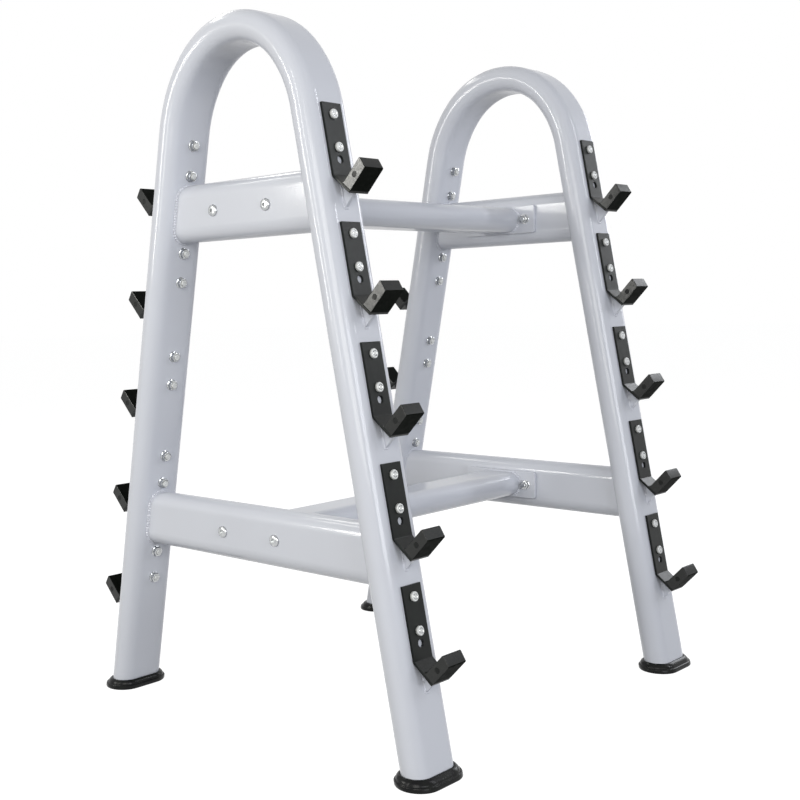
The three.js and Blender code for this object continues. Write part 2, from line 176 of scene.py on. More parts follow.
# Weld beads
BEAD_RADIUS = 0.0034
GUSSET_BEAD_RADIUS = 0.0020
GUSSET_BEAD_OFFSET = GUSSET_BEAD_RADIUS / 3  # from the gusset's side to the bead's middle
BEAD_SIDES = 8
BEAD_STEP = 0.0016
BEAD_RIPPLE = 0.0055  # from one ripple to the next
BEAD_RIPPLE_SHARE = 0.20

# Edges and faces of the meshes
SMOOTH_ANGLE = math.radians(35)  # for turned and swept pieces
HARD_ANGLE = math.radians(12)  # for flat-sided pieces, whose flats stay level up to their edges
BEVEL_ANGLE = math.radians(30)  # sharper edges than this are rounded
CORNER_STEPS = 6
SIDE_FACE_SHARE = 0.98  # a face belongs to a side if its normal points this much that way
EDGE_FACE_SHARE = 0.3  # the same for the arm's sides, with the rounded edges round them
TIP_FACE_SHARE = 0.9  # the same for the arm's tip
SUNK_SHARE = 0.25  # a face is sunk if it lies lower than this share of its dimple or groove

# Arch geometry: headings run from +Z towards +Y, from the front foot over the top
ARCH_HEIGHT = cad_box[1].z - TUBE_THICKNESS / 2
SHOULDER_END = math.pi / 2 - CROWN_HALF_ANGLE
RADIUS_STEP = SHOULDER_RADIUS - CROWN_RADIUS
CROWN_CENTRE = ARCH_HEIGHT - CROWN_RADIUS
SHOULDER_RUN = LEG_SPREAD / 2 + RADIUS_STEP * math.cos(SHOULDER_END)
SHOULDER_RISE = CROWN_CENTRE - RADIUS_STEP * math.sin(SHOULDER_END)
LEAN = math.acos(SHOULDER_RADIUS / math.hypot(SHOULDER_RUN, SHOULDER_RISE)) - math.atan2(
    SHOULDER_RISE, SHOULDER_RUN
)
LEG_LENGTH = SHOULDER_RUN * math.sin(LEAN) + SHOULDER_RISE * math.cos(LEAN)
TOP_LEVEL = LEG_LENGTH - TOP_HOOK_CLEARANCE - HOOK_HEAD

SIDES = {"left": -1, "right": 1}
FACES = {"front": -1, "back": 1}
BARS = ("upper", "lower")


# Materials


NOISE_RANGE = (0.3, 0.7)  # nearly all values of the noise lie between these
RAMP_RANGE = (0.35, 0.65)  # the same for colours, with a little more contrast


def new_material(name):
    material = bpy.data.materials.new(name)
    material.use_nodes = True
    return material, material.node_tree, material.node_tree.nodes["Principled BSDF"]


def noise(tree, scale, detail=2.0, roughness=0.5):
    """Noise in the rack's own frame, so that no two pieces carry the same pattern."""
    geometry = tree.nodes.new("ShaderNodeNewGeometry")
    texture = tree.nodes.new("ShaderNodeTexNoise")
    texture.inputs["Scale"].default_value = scale
    texture.inputs["Detail"].default_value = detail
    texture.inputs["Roughness"].default_value = roughness
    tree.links.new(geometry.outputs["Position"], texture.inputs["Vector"])
    return texture.outputs["Fac"]


def spread(tree, value, low, high):
    """The noise value laid over a range of numbers."""
    node = tree.nodes.new("ShaderNodeMapRange")
    node.inputs["From Min"].default_value = NOISE_RANGE[0]
    node.inputs["From Max"].default_value = NOISE_RANGE[1]
    node.inputs["To Min"].default_value = low
    node.inputs["To Max"].default_value = high
    tree.links.new(value, node.inputs["Value"])
    return node.outputs["Result"]


def between(tree, value, low, high):
    """The noise value laid over a range of colours."""
    node = tree.nodes.new("ShaderNodeValToRGB")
    for element, position, colour in zip(node.color_ramp.elements, RAMP_RANGE, (low, high)):
        element.position = position
        element.color = (*colour, 1)
    tree.links.new(value, node.inputs["Fac"])
    return node.outputs["Color"]


def bump(tree, shader, height, strength, distance, sockets=("Normal",)):
    """Lets the height dent the surface, for the named normals of the shader."""
    node = tree.nodes.new("ShaderNodeBump")
    node.inputs["Strength"].default_value = strength
    node.inputs["Distance"].default_value = distance
    tree.links.new(height, node.inputs["Height"])
    for socket in sockets:
        tree.links.new(node.outputs["Normal"], shader.inputs[socket])


def uneven_material(name, clouds, colours, patches, polish, grain, dents, sockets=("Normal",)):
    """A material whose colour and roughness drift a little, and whose surface is finely grained.

    Clouds, patches and grain are noises: scale, detail and roughness. Colours and polish are the
    ranges of the base colour and the roughness. Dents are the grain's strength and depth.
    """
    material, tree, shader = new_material(name)
    tint = between(tree, noise(tree, *clouds), *colours)
    tree.links.new(tint, shader.inputs["Base Color"])
    tree.links.new(spread(tree, noise(tree, *patches), *polish), shader.inputs["Roughness"])
    bump(tree, shader, noise(tree, *grain), *dents, sockets)
    return material, shader


def paint_material():
    """Glossy silver-lavender powder paint with a slight orange peel."""
    material, shader = uneven_material(
        "frame_paint",
        clouds=(5.0, 3.0),
        colours=((0.584, 0.601, 0.659), (0.596, 0.614, 0.673)),
        patches=(40.0,),
        polish=(0.33, 0.36),
        grain=(700.0, 1.0),
        dents=(0.03, 0.0002),
        sockets=("Normal", "Coat Normal"),
    )
    shader.inputs["Specular IOR Level"].default_value = 0.12
    shader.inputs["Coat Weight"].default_value = 0.50
    shader.inputs["Coat Roughness"].default_value = 0.11
    return material


def strip_material():
    """Satin black powder coat, finely grained."""
    material, shader = uneven_material(
        "hook_powder_coat",
        clouds=(60.0, 4.0),
        colours=((0.003, 0.004, 0.004), (0.006, 0.008, 0.007)),
        patches=(180.0, 3.0),
        polish=(0.28, 0.38),
        grain=(1400.0, 2.0),
        dents=(0.10, 0.0004),
    )
    shader.inputs["Specular IOR Level"].default_value = 0.19
    return material


def cradle_material():
    """Black rubbed smooth, for the slope where the bars rest and for the arm's tip and dimples."""
    material, shader = uneven_material(
        "hook_cradle",
        clouds=(260.0, 4.0),
        colours=((0.005, 0.006, 0.006), (0.010, 0.011, 0.010)),
        patches=(240.0, 3.0),
        polish=(0.28, 0.38),
        grain=(400.0, 3.0),
        dents=(0.05, 0.0004),
    )
    shader.inputs["Specular IOR Level"].default_value = 0.15
    return material


def arm_material():
    """Moulded black plastic, slightly scuffed."""
    material, shader = uneven_material(
        "hook_moulding",
        clouds=(90.0, 5.0, 0.6),
        colours=((0.002, 0.003, 0.002), (0.005, 0.006, 0.005)),
        patches=(120.0, 4.0),
        polish=(0.50, 0.66),
        grain=(500.0, 3.0),
        dents=(0.12, 0.0005),
    )
    shader.inputs["Specular IOR Level"].default_value = 0.015
    return material


def arm_side_material():
    """The moulding's two smooth side faces, with streaks from the mould."""
    material, shader = uneven_material(
        "hook_moulding_side",
        clouds=(90.0, 5.0, 0.6),
        colours=((0.005, 0.006, 0.005), (0.009, 0.010, 0.009)),
        patches=(260.0, 4.0),
        polish=(0.18, 0.27),
        grain=(300.0, 3.0),
        dents=(0.03, 0.0004),
    )
    shader.inputs["Specular IOR Level"].default_value = 0.36
    return material


def nut_material():
    """Bright zinc plating, faintly clouded: the nuts, the crossbar bolts, the hook bolts' rings. In
    the rings its darker tone is painted shade in the groove.
    """
    material, shader = uneven_material(
        "zinc_plate",
        clouds=(220.0, 3.0),
        colours=((0.38, 0.39, 0.40), (0.52, 0.53, 0.53)),
        patches=(400.0,),
        polish=(0.14, 0.24),
        grain=(900.0,),
        dents=(0.06, 0.0003),
    )
    shader.inputs["Metallic"].default_value = 1.0
    return material


def bolt_material():
    """The duller plating of the hook bolts, with fine wear."""
    material, shader = uneven_material(
        "zinc_dull",
        clouds=(420.0, 3.0),
        colours=((0.58, 0.59, 0.59), (0.74, 0.75, 0.74)),
        patches=(400.0,),
        polish=(0.42, 0.55),
        grain=(900.0,),
        dents=(0.10, 0.0003),
    )
    shader.inputs["Metallic"].default_value = 0.12
    shader.inputs["Specular IOR Level"].default_value = 0.40
    return material


def rubber_material():
    """Black rubber with a soft sheen from handling."""
    material, shader = uneven_material(
        "foot_rubber",
        clouds=(70.0, 4.0),
        colours=((0.003, 0.003, 0.004), (0.007, 0.008, 0.007)),
        patches=(90.0, 3.0),
        polish=(0.18, 0.30),
        grain=(700.0, 3.0),
        dents=(0.15, 0.0005),
    )
    shader.inputs["Specular IOR Level"].default_value = 0.15
    return material


PAINT = paint_material()
STRIP = strip_material()
CRADLE_FACE = cradle_material()
ARM = arm_material()
ARM_SIDE = arm_side_material()
BOLT = bolt_material()
NUT = nut_material()
RUBBER = rubber_material()


# Meshes


def finished(bm, name, material, angle=SMOOTH_ANGLE):
    """Turns the working mesh into mesh data, smooth except at its real edges."""
    bmesh.ops.recalc_face_normals(bm, faces=bm.faces)
    mesh = bpy.data.meshes.new(name)
    bm.to_mesh(mesh)
    bm.free()
    mesh.shade_smooth()
    mesh.set_sharp_from_angle(angle=angle)
    mesh.materials.append(material)
    return mesh


def loft(rings, closed=False):
    """A skin through rings of equally many points.

    Closed joins the last ring to the first. Otherwise both are capped.
    """
    bm = bmesh.new()
    loops = [[bm.verts.new(point) for point in ring] for ring in rings]
    pairs = list(zip(loops, loops[1:]))
    if closed:
        pairs.append((loops[-1], loops[0]))
    else:
        bm.faces.new(loops[0])
        bm.faces.new(loops[-1])
    for low, high in pairs:
        for i in range(len(low)):
            bm.faces.new((low[i - 1], low[i], high[i], high[i - 1]))
    return bm


def extruded(outline, width):
    """An outline drawn outward and up the leg, as wide as given across the leg."""
    return loft([[Vector((x, out, up)) for out, up in outline] for x in (-width / 2, width / 2)])


def soften(bm, width, segments=2):
    """Rounds the real edges of the working mesh."""
    bmesh.ops.recalc_face_normals(bm, faces=bm.faces)
    edges = [edge for edge in bm.edges if edge.calc_face_angle(0) > BEVEL_ANGLE]
    bmesh.ops.bevel(
        bm,
        geom=edges,
        offset=width,
        offset_type="OFFSET",
        segments=segments,
        profile=0.5,
        affect="EDGES",
        clamp_overlap=True,
    )
    return bm


def turned(profile):
    """A turned solid about Y.

    The profile lists (radius, y), and each of them is a number or a function of the angle.
    """
    rings = []
    for radius, y in profile:
        ring = []
        for i in range(TURN_STEPS):
            angle = 2 * math.pi * i / TURN_STEPS
            r = radius(angle) if callable(radius) else radius
            height = y(angle) if callable(y) else y
            ring.append(Vector((r * math.cos(angle), height, r * math.sin(angle))))
        rings.append(ring)
    return loft(rings)


def hexagon(half_width):
    """Radius of a hexagon at an angle, from half its width across flats."""
    sector = math.pi / 3

    def radius(angle):
        return half_width / math.cos((angle % sector) - sector / 2)

    return radius


def cut(mesh, cutters):
    """Cuts each working mesh out of the mesh data."""
    body = bpy.data.objects.new("body_to_cut", mesh)
    scene.collection.objects.link(body)
    tools = []
    for bm in cutters:
        bmesh.ops.recalc_face_normals(bm, faces=bm.faces)
        data = bpy.data.meshes.new("cutter")
        bm.to_mesh(data)
        bm.free()
        tool = bpy.data.objects.new("cutter", data)
        scene.collection.objects.link(tool)
        modifier = body.modifiers.new("cut", "BOOLEAN")
        modifier.operation = "DIFFERENCE"
        modifier.solver = "EXACT"
        modifier.object = tool
        tools.append(tool)
    graph = bpy.context.evaluated_depsgraph_get()
    result = bpy.data.meshes.new_from_object(body.evaluated_get(graph))
    for item in (*tools, body):
        bpy.data.objects.remove(item)
    result.shade_smooth()
    result.set_sharp_from_angle(angle=HARD_ANGLE)
    return result


def bead(loop, normal, radius):
    """A weld bead along a flat closed loop of points; normal is the loop's plane."""
    lengths = [(b - a).length for a, b in zip(loop, loop[1:] + loop[:1])]
    total = sum(lengths)
    count = round(total / BEAD_STEP)
    ripples = round(total / BEAD_RIPPLE)
    points = []
    index, start = 0, 0.0
    for i in range(count):
        distance = total * i / count
        while distance > start + lengths[index]:
            start += lengths[index]
            index += 1
        share = (distance - start) / lengths[index]
        points.append(loop[index].lerp(loop[(index + 1) % len(loop)], share))
    rings = []
    for i, point in enumerate(points):
        ahead = (points[(i + 1) % count] - points[i - 1]).normalized()
        side = ahead.cross(normal)
        swell = radius * (1 + BEAD_RIPPLE_SHARE * math.sin(2 * math.pi * ripples * i / count))
        ring = []
        for j in range(BEAD_SIDES):
            angle = 2 * math.pi * j / BEAD_SIDES
            ring.append(point + side * swell * math.cos(angle) + normal * swell * math.sin(angle))
        rings.append(ring)
    return loft(rings, closed=True)


def moved(mesh, matrix):
    """A copy of the mesh data in its place on the rack: its box is then no wider than its shape."""
    result = mesh.copy()
    result.transform(matrix)
    return result


def place(name, mesh, matrix=None, stands_for=()):
    """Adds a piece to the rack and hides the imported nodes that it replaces."""
    piece = bpy.data.objects.new(name, mesh)
    scene.collection.objects.link(piece)
    if matrix is not None:
        piece.matrix_world = matrix
    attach(piece, "root")
    if stands_for:
        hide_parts(*stands_for)
    return piece


# Outlines


def oval(width, thickness):
    """Flat oval, wide along its first direction: two half circles joined by flats."""
    radius = thickness / 2
    offset = width / 2 - radius
    points = []
    for side in (1, -1):
        points.append((side * (offset - FLAT_MARGIN), -side * radius))
        for i in range(OVAL_STEPS + 1):
            angle = math.pi * (i / OVAL_STEPS - 0.5)
            points.append(
                (side * (offset + radius * math.cos(angle)), side * radius * math.sin(angle))
            )
        points.append((side * (offset - FLAT_MARGIN), side * radius))
    return points


def crossing(a, u, b, v):
    """Where the line through a along u crosses the line through b along v."""
    gap = b - a
    return a + u * ((gap.x * v.y - gap.y * v.x) / (u.x * v.y - u.y * v.x))


def rounded(before, corner, after, radius):
    """Points of an arc in place of an outline's corner."""
    back = (before - corner).normalized()
    ahead = (after - corner).normalized()
    half = back.angle(ahead) / 2
    centre = corner + (back + ahead).normalized() * (radius / math.sin(half))
    start = corner + back * (radius / math.tan(half)) - centre
    end = corner + ahead * (radius / math.tan(half)) - centre
    sweep = math.copysign(math.pi - 2 * half, start.cross(end))
    turns = [Matrix.Rotation(sweep * i / CORNER_STEPS, 2) for i in range(CORNER_STEPS + 1)]
    return [centre + turn @ start for turn in turns]


TUBE_SECTION = oval(TUBE_WIDTH, TUBE_THICKNESS)

# Corners of the hook's side view, outward and up the leg from the upper bolt
SLOPE_DOWN = Vector((math.sin(SLOPE_ANGLE), -math.cos(SLOPE_ANGLE)))
SLOPE_UP_FACE = Vector((math.cos(SLOPE_ANGLE), math.sin(SLOPE_ANGLE)))
ARM_OUT = Vector((math.cos(ARM_ANGLE), math.sin(ARM_ANGLE)))
ARM_UP = Vector((-math.sin(ARM_ANGLE), math.cos(ARM_ANGLE)))
HEEL = Vector((GAP, -(BOLT_SPACING + SPARE_HOLE_DROP + BEND_DROP)))
ELBOW = HEEL + SLOPE_DOWN * SLOPE_LENGTH
ELBOW_INSIDE = ELBOW + SLOPE_UP_FACE * HOOK_STRIP
TIP_LOW = ELBOW + ARM_OUT * ARM_LENGTH
TIP_HIGH = TIP_LOW + ARM_UP * ARM_THICKNESS + ARM_OUT * ARM_TIP_SLANT
STRIP_FACE = GAP + HOOK_STRIP
STRIP_TOP = Vector((STRIP_FACE, HOOK_HEAD))
BEND = crossing(STRIP_TOP, Vector((0, 1)), ELBOW_INSIDE, SLOPE_DOWN)
CRADLE = crossing(TIP_HIGH, ARM_OUT, ELBOW_INSIDE, SLOPE_DOWN)


def strip_mesh():
    """The bent strip with its spare hole. Its slope is rubbed where the bars rest."""
    back_top = Vector((GAP, HOOK_HEAD))
    outline = [
        back_top,
        *rounded(back_top, HEEL, ELBOW, BEND_INSIDE + HOOK_STRIP),
        ELBOW,
        ELBOW_INSIDE,
        *rounded(ELBOW_INSIDE, BEND, STRIP_TOP, BEND_INSIDE),
        STRIP_TOP,
    ]
    mesh = finished(soften(extruded(outline, HOOK_WIDTH), STRIP_EDGE), "hook_strip", STRIP)
    hole = turned(
        [
            (SPARE_HOLE_RADIUS, -HOOK_STRIP),
            (SPARE_HOLE_RADIUS, STRIP_FACE - HOLE_EDGE),
            (SPARE_HOLE_RADIUS + 2 * HOLE_EDGE, STRIP_FACE + HOLE_EDGE),
        ]
    )
    bmesh.ops.translate(hole, verts=hole.verts, vec=(0, 0, -BOLT_SPACING - SPARE_HOLE_DROP))
    result = cut(mesh, [hole])
    result.materials.append(CRADLE_FACE)
    cradle_normal = Vector((0, *SLOPE_UP_FACE))
    for face in result.polygons:
        if face.normal.dot(cradle_normal) > SIDE_FACE_SHARE:
            face.material_index = 1
    return result


def arm_mesh():
    """The moulded arm that stands on the strip's slope.

    Its sides are smooth and have a shallow dimple each. The dimples' floors and the tip are rubbed.
    """
    foot = crossing(ELBOW, ARM_OUT, ELBOW_INSIDE, SLOPE_DOWN)
    slope = CRADLE - SLOPE_DOWN * ARM_FILLET
    outline = [
        foot,
        *rounded(foot, TIP_LOW, TIP_HIGH, ARM_CORNER),
        *rounded(TIP_LOW, TIP_HIGH, CRADLE, ARM_CORNER),
        CRADLE + ARM_OUT * ARM_FILLET,
        slope,
    ]
    body = soften(extruded(outline, HOOK_WIDTH), ARM_EDGE, ARM_EDGE_STEPS)
    mesh = finished(body, "hook_arm", ARM)
    middle = ELBOW + ARM_OUT * (ARM_LENGTH * DIMPLE_SHARE) + ARM_UP * (ARM_THICKNESS / 2)
    dimples = []
    for side in (-1, 1):
        dimple = turned(
            [
                (DIMPLE_RADIUS - DIMPLE_DEPTH, HOOK_WIDTH / 2 - DIMPLE_DEPTH),
                (DIMPLE_RADIUS, HOOK_WIDTH / 2),
                (DIMPLE_RADIUS, HOOK_WIDTH / 2 + DIMPLE_DEPTH),
            ]
        )
        turn = Matrix.Rotation(-side * math.pi / 2, 3, "Z")
        bmesh.ops.rotate(dimple, verts=dimple.verts, cent=(0, 0, 0), matrix=turn)
        bmesh.ops.translate(dimple, verts=dimple.verts, vec=(0, middle.x, middle.y))
        dimples.append(dimple)
    result = cut(mesh, dimples)
    result.materials.append(ARM_SIDE)
    result.materials.append(CRADLE_FACE)
    centre = Vector((0, middle.x, middle.y))
    for face in result.polygons:
        near_dimple = (Vector((0, face.center.y, face.center.z)) - centre).length < DIMPLE_RADIUS
        sunk = abs(face.center.x) < HOOK_WIDTH / 2 - DIMPLE_DEPTH * SUNK_SHARE
        if abs(face.normal.x) > EDGE_FACE_SHARE:
            face.material_index = 2 if near_dimple and sunk else 1
        elif Vector((face.normal.y, face.normal.z)).dot(ARM_OUT) > TIP_FACE_SHARE:
            face.material_index = 2
    return result


def ring_top():
    """The flat top of a hook bolt's head, with a fine ring pressed into it, as (radius, y)."""
    return [
        (CAP_RADIUS, HEAD_HEIGHT),
        (HEAD_GROOVE - GROOVE_WIDTH, HEAD_HEIGHT),
        (HEAD_GROOVE - GROOVE_WIDTH / 2, HEAD_HEIGHT - GROOVE_DEPTH),
        (HEAD_GROOVE + GROOVE_WIDTH / 2, HEAD_HEIGHT - GROOVE_DEPTH),
        (HEAD_GROOVE + GROOVE_WIDTH, HEAD_HEIGHT),
    ]


def socket_top():
    """The top of a domed head with a hexagon socket, as (radius, y)."""
    socket = hexagon(DOME_SOCKET)
    return [
        (CAP_RADIUS, HEAD_HEIGHT - SOCKET_DEPTH),
        (socket, HEAD_HEIGHT - SOCKET_DEPTH),
        (socket, HEAD_HEIGHT),
    ]


def bolt_mesh(length, top, radius, flat, material):
    """A bolt along Y with a low round head, whose top profile is given out to its flat.

    The head's seat is at the origin and the shank runs towards -Y.
    """
    rounding = radius - flat
    rise = min(rounding, HEAD_HEIGHT * HEAD_ROUND_SHARE)
    profile = list(top)
    for i in range(HEAD_STEPS + 1):
        angle = math.pi / 2 * i / HEAD_STEPS
        height = HEAD_HEIGHT - rise * (1 - math.cos(angle))
        profile.append((flat + rounding * math.sin(angle), height))
    profile.append((radius, HEAD_HEIGHT * SEAT_RISE_SHARE))
    profile.append((radius * SEAT_SHARE, 0))
    profile.append((BOLT_RADIUS, 0))
    start = -length + THREAD_PITCH * (THREAD_TURNS + 0.5)  # the end has a chamfer of half a pitch
    for i in range(THREAD_TURNS):
        crest = start - i * THREAD_PITCH
        profile.append((BOLT_RADIUS, crest))
        profile.append((BOLT_RADIUS - THREAD_DEPTH, crest - THREAD_PITCH / 2))
    profile.append((BOLT_RADIUS, -length + THREAD_PITCH / 2))
    profile.append((BOLT_RADIUS - THREAD_PITCH / 2, -length))
    bolt = finished(turned(profile), "bolt", material)
    # Painted shade: the groove of the ring in a hook bolt's head takes the darker zinc, so that the
    # ring reads darker than the head round it.
    bolt.materials.append(NUT)  # for the ring or socket in the head
    for face in bolt.polygons:
        away = math.hypot(face.center.x, face.center.z)
        if away < flat and 0 < face.center.y < HEAD_HEIGHT - GROOVE_DEPTH * SUNK_SHARE:
            face.material_index = 1
    return bolt


def nut_mesh():
    """A chamfered hexagon nut with a round flange, about Y.

    Its seat is at the origin and it rises towards -Y.
    """
    flat = hexagon(NUT_FLAT)
    slant = math.tan(NUT_CHAMFER)

    def top(angle):
        return -NUT_HEIGHT + (flat(angle) - NUT_FACE) * slant

    profile = [
        (BOLT_RADIUS, -NUT_HEIGHT / 2),
        (BOLT_RADIUS, -NUT_HEIGHT + NUT_BORE_EDGE),
        (BOLT_RADIUS + NUT_BORE_EDGE, -NUT_HEIGHT),
        (NUT_FACE, -NUT_HEIGHT),
        (flat, top),
        (flat, -FLANGE_EDGE - FLANGE_RISE),
        (FLANGE_RADIUS, -FLANGE_EDGE),
        (FLANGE_RADIUS, 0),
        (BOLT_RADIUS, 0),
    ]
    return finished(turned(profile), "nut", NUT)


def gusset_mesh():
    """The small plate that holds up a hook's slope."""
    top = HEEL - SLOPE_UP_FACE * GAP
    root = crossing(top, SLOPE_DOWN, Vector((-GUSSET_ROOT, 0)), Vector((0, 1)))
    low = HEEL.y - GUSSET_LEG
    outline = [
        root,
        Vector((-GUSSET_ROOT, low)),
        Vector((0, low)),
        top + SLOPE_DOWN * GUSSET_SLOPE,
    ]
    plate = soften(extruded(outline, GUSSET_THICKNESS), GUSSET_EDGE)
    return finished(plate, "gusset", PAINT, HARD_ANGLE)


def gusset_weld_mesh():
    """The bead round a gusset's root on the leg's face."""
    across = GUSSET_THICKNESS / 2 + GUSSET_BEAD_OFFSET
    low = HEEL.y - GUSSET_LEG - GUSSET_BEAD_OFFSET
    corners = [(-across, low), (across, low), (across, HEEL.y), (-across, HEEL.y)]
    points = [Vector((x, 0, z)) for x, z in corners]
    return finished(bead(points, Vector((0, 1, 0)), GUSSET_BEAD_RADIUS), "gusset_weld", PAINT)


def arch_mesh():
    """One arch round x = 0, as a sweep of the flat oval along its middle line."""
    half = [LEAN]
    for i in range(1, SHOULDER_STEPS + 1):
        half.append(LEAN + (SHOULDER_END - LEAN) * i / SHOULDER_STEPS)
    for i in range(1, CROWN_STEPS // 2 + 1):
        half.append(SHOULDER_END + CROWN_HALF_ANGLE * 2 * i / CROWN_STEPS)
    headings = half + [math.pi - heading for heading in reversed(half[:-1])]
    stations = []
    for heading in headings:
        on_crown = abs(heading - math.pi / 2) <= CROWN_HALF_ANGLE
        radius = CROWN_RADIUS if on_crown else SHOULDER_RADIUS
        end = SHOULDER_END if heading < math.pi / 2 else math.pi - SHOULDER_END
        offset = CROWN_RADIUS - radius
        y = -offset * math.cos(end) - radius * math.cos(heading)
        z = CROWN_CENTRE + offset * math.sin(end) + radius * math.sin(heading)
        stations.append((Vector((0, y, z)), heading))
    legs = []
    for end_station, direction in ((stations[0], -1), (stations[-1], 1)):
        point, heading = end_station
        along = Vector((0, math.sin(heading), math.cos(heading))) * direction
        spans = [(LEG_LENGTH - LEG_END) * i / LEG_SPANS for i in range(1, LEG_SPANS + 1)]
        legs.append([(point + along * span, heading) for span in spans])
    stations = list(reversed(legs[0])) + stations + legs[1]
    rings = []
    for point, heading in stations:
        outward = Vector((0, -math.cos(heading), math.sin(heading)))
        rings.append([point + Vector((a, 0, 0)) + outward * b for a, b in TUBE_SECTION])
    return finished(loft(rings), "arch", PAINT)


def inner_face(height):
    """How far a leg's inner face stands from the middle of the side frame at a height."""
    return LEG_SPREAD / 2 - height * math.tan(LEAN) - TUBE_THICKNESS / 2 / math.cos(LEAN)


def crossbar_mesh(height):
    """A crossbar round x = 0, the tube on edge, its ends following the slant of the legs."""
    rings = []
    for side in (-1, 1):
        ring = []
        for a, b in TUBE_SECTION:
            z = height + a
            ring.append(Vector((b, side * (inner_face(z) + TUBE_SINK), z)))
        rings.append(ring)
    return finished(loft(rings), "crossbar", PAINT)


def crossbar_weld_mesh(height, side):
    """The bead round one end of a crossbar, on the leg's inner face."""
    loop = []
    for a, b in TUBE_SECTION:
        z = height + a
        loop.append(Vector((b, side * inner_face(z), z)))
    normal = Vector((0, side * math.cos(LEAN), math.sin(LEAN)))
    return finished(bead(loop, normal, BEAD_RADIUS), "crossbar_weld", PAINT)


def tie_tube_mesh(reach):
    """A tie tube round the origin, the tube laid flat along X."""
    rings = [[Vector((x, a, b)) for a, b in TUBE_SECTION] for x in (-reach, reach)]
    return finished(loft(rings), "tie_tube", PAINT)


def tie_weld_mesh(x):
    """The bead round one end of a tie tube, on its end plate."""
    loop = [Vector((x, a, b)) for a, b in TUBE_SECTION]
    return finished(bead(loop, Vector((1, 0, 0)), BEAD_RADIUS), "tie_weld", PAINT)


def end_plate_mesh(node):
    """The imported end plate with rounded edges."""
    low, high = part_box(node)
    corners = [
        Vector((low.y, low.z)),
        Vector((high.y, low.z)),
        Vector((high.y, high.z)),
        Vector((low.y, high.z)),
    ]
    outline = []
    for i, corner in enumerate(corners):
        outline += rounded(corners[i - 1], corner, corners[(i + 1) % 4], PLATE_CORNER)
    rings = [[Vector((x, y, z)) for y, z in outline] for x in (low.x, high.x)]
    return finished(soften(loft(rings), PLATE_EDGE), "end_plate", PAINT, HARD_ANGLE)


def foot_mesh():
    """A rubber boot under the front leg at x = 0: an upright lip, then a skirt up to the leg."""
    depth = TUBE_THICKNESS / math.cos(LEAN)
    rings = []
    for inward, up in FOOT_PROFILE:
        grown = 2 * (FOOT_RIM - inward)
        middle = -LEG_SPREAD / 2 + up * math.tan(LEAN)
        outline = oval(TUBE_WIDTH + grown, depth + grown)
        rings.append([Vector((a, middle + b, up)) for a, b in outline])
    return finished(loft(rings), "foot", RUBBER)


# Assembly


def leg_matrix(side, face, level):
    """The frame of a hook, from the leg's face at the upper bolt.

    X lies across the leg, Y points outward and Z up the leg.
    """
    across = Vector((face, 0, 0))
    outward = Vector((0, face * math.cos(LEAN), math.sin(LEAN)))
    upward = across.cross(outward)
    foot = Vector((side * FRAME_SPACING / 2, face * LEG_SPREAD / 2, 0))
    origin = foot + upward * level + outward * (TUBE_THICKNESS / 2)
    turn = Matrix((across, outward, upward)).transposed().to_4x4()
    return Matrix.Translation(origin) @ turn


def build_hooks():
    """The hooks with their bolts and nuts, the gussets under them and the gussets' welds."""
    strip = strip_mesh()
    arm = arm_mesh()
    nut = nut_mesh()
    length = STRIP_FACE + TUBE_THICKNESS + GAP + NUT_HEIGHT + BOLT_END
    bolt = bolt_mesh(length, ring_top(), HEAD_RADIUS, HEAD_FLAT, BOLT)
    gusset = gusset_mesh()
    weld = gusset_weld_mesh()
    for side_name, side in SIDES.items():
        for face_name, face in FACES.items():
            for index in range(LEVEL_COUNT):
                where = f"{side_name}_{face_name}_{index + 1}"
                matrix = leg_matrix(side, face, TOP_LEVEL - index * LEVEL_PITCH)
                place(f"hook_strip_{where}", strip, matrix, [f"hook_{where}"])
                place(f"hook_arm_{where}", moved(arm, matrix))
                place(f"gusset_{where}", gusset, matrix)
                place(f"gusset_weld_{where}", weld, matrix)
                for row, drop in (("high", 0), ("low", BOLT_SPACING)):
                    head = matrix @ Matrix.Translation((0, STRIP_FACE, -drop))
                    seat = matrix @ Matrix.Translation((0, -TUBE_THICKNESS - GAP, -drop))
                    place(f"hook_bolt_{where}_{row}", bolt, head)
                    place(f"hook_nut_{where}_{row}", nut, seat)


def build_frames():
    """The two arches and the four feet."""
    arch = arch_mesh()
    foot = foot_mesh()
    for side_name, side in SIDES.items():
        middle = Matrix.Translation((side * FRAME_SPACING / 2, 0, 0))
        place(f"arch_tube_{side_name}", arch, middle, [f"arch_{side_name}"])
        for face_name, face in FACES.items():
            turn = Matrix.Rotation(0 if face < 0 else math.pi, 4, "Z")
            where = f"{side_name}_{face_name}"
            place(f"boot_{where}", foot, middle @ turn, [f"foot_{where}"])


def build_ties():
    """The crossbars, the tie tubes with their end plates, and what joins them."""
    nut = nut_mesh()
    for bar in BARS:
        low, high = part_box(f"crossbar_left_{bar}")
        height = (low.z + high.z) / 2
        crossbar = crossbar_mesh(height)
        welds = {name: crossbar_weld_mesh(height, face) for name, face in FACES.items()}
        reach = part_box(f"tie_tube_{bar}")[1].x + GAP
        tube = tie_tube_mesh(reach + TUBE_SINK)
        level = Matrix.Translation((0, 0, height))
        place(f"tie_{bar}", tube, level, [f"tie_tube_{bar}"])
        for side_name, side in SIDES.items():
            middle = Matrix.Translation((side * FRAME_SPACING / 2, 0, 0))
            name = f"{side_name}_{bar}"
            place(f"bar_{name}", crossbar, middle, [f"crossbar_{name}"])
            for face_name, weld in welds.items():
                place(f"bar_weld_{name}_{face_name}", weld, middle)
            place(f"tie_weld_{name}", tie_weld_mesh(side * reach), level)
            plate = end_plate_mesh(f"end_plate_{name}")
            place(f"plate_{name}", plate, None, [f"end_plate_{name}"])
            for face_name in FACES:
                build_tie_bolt(f"{name}_{face_name}", side, nut)


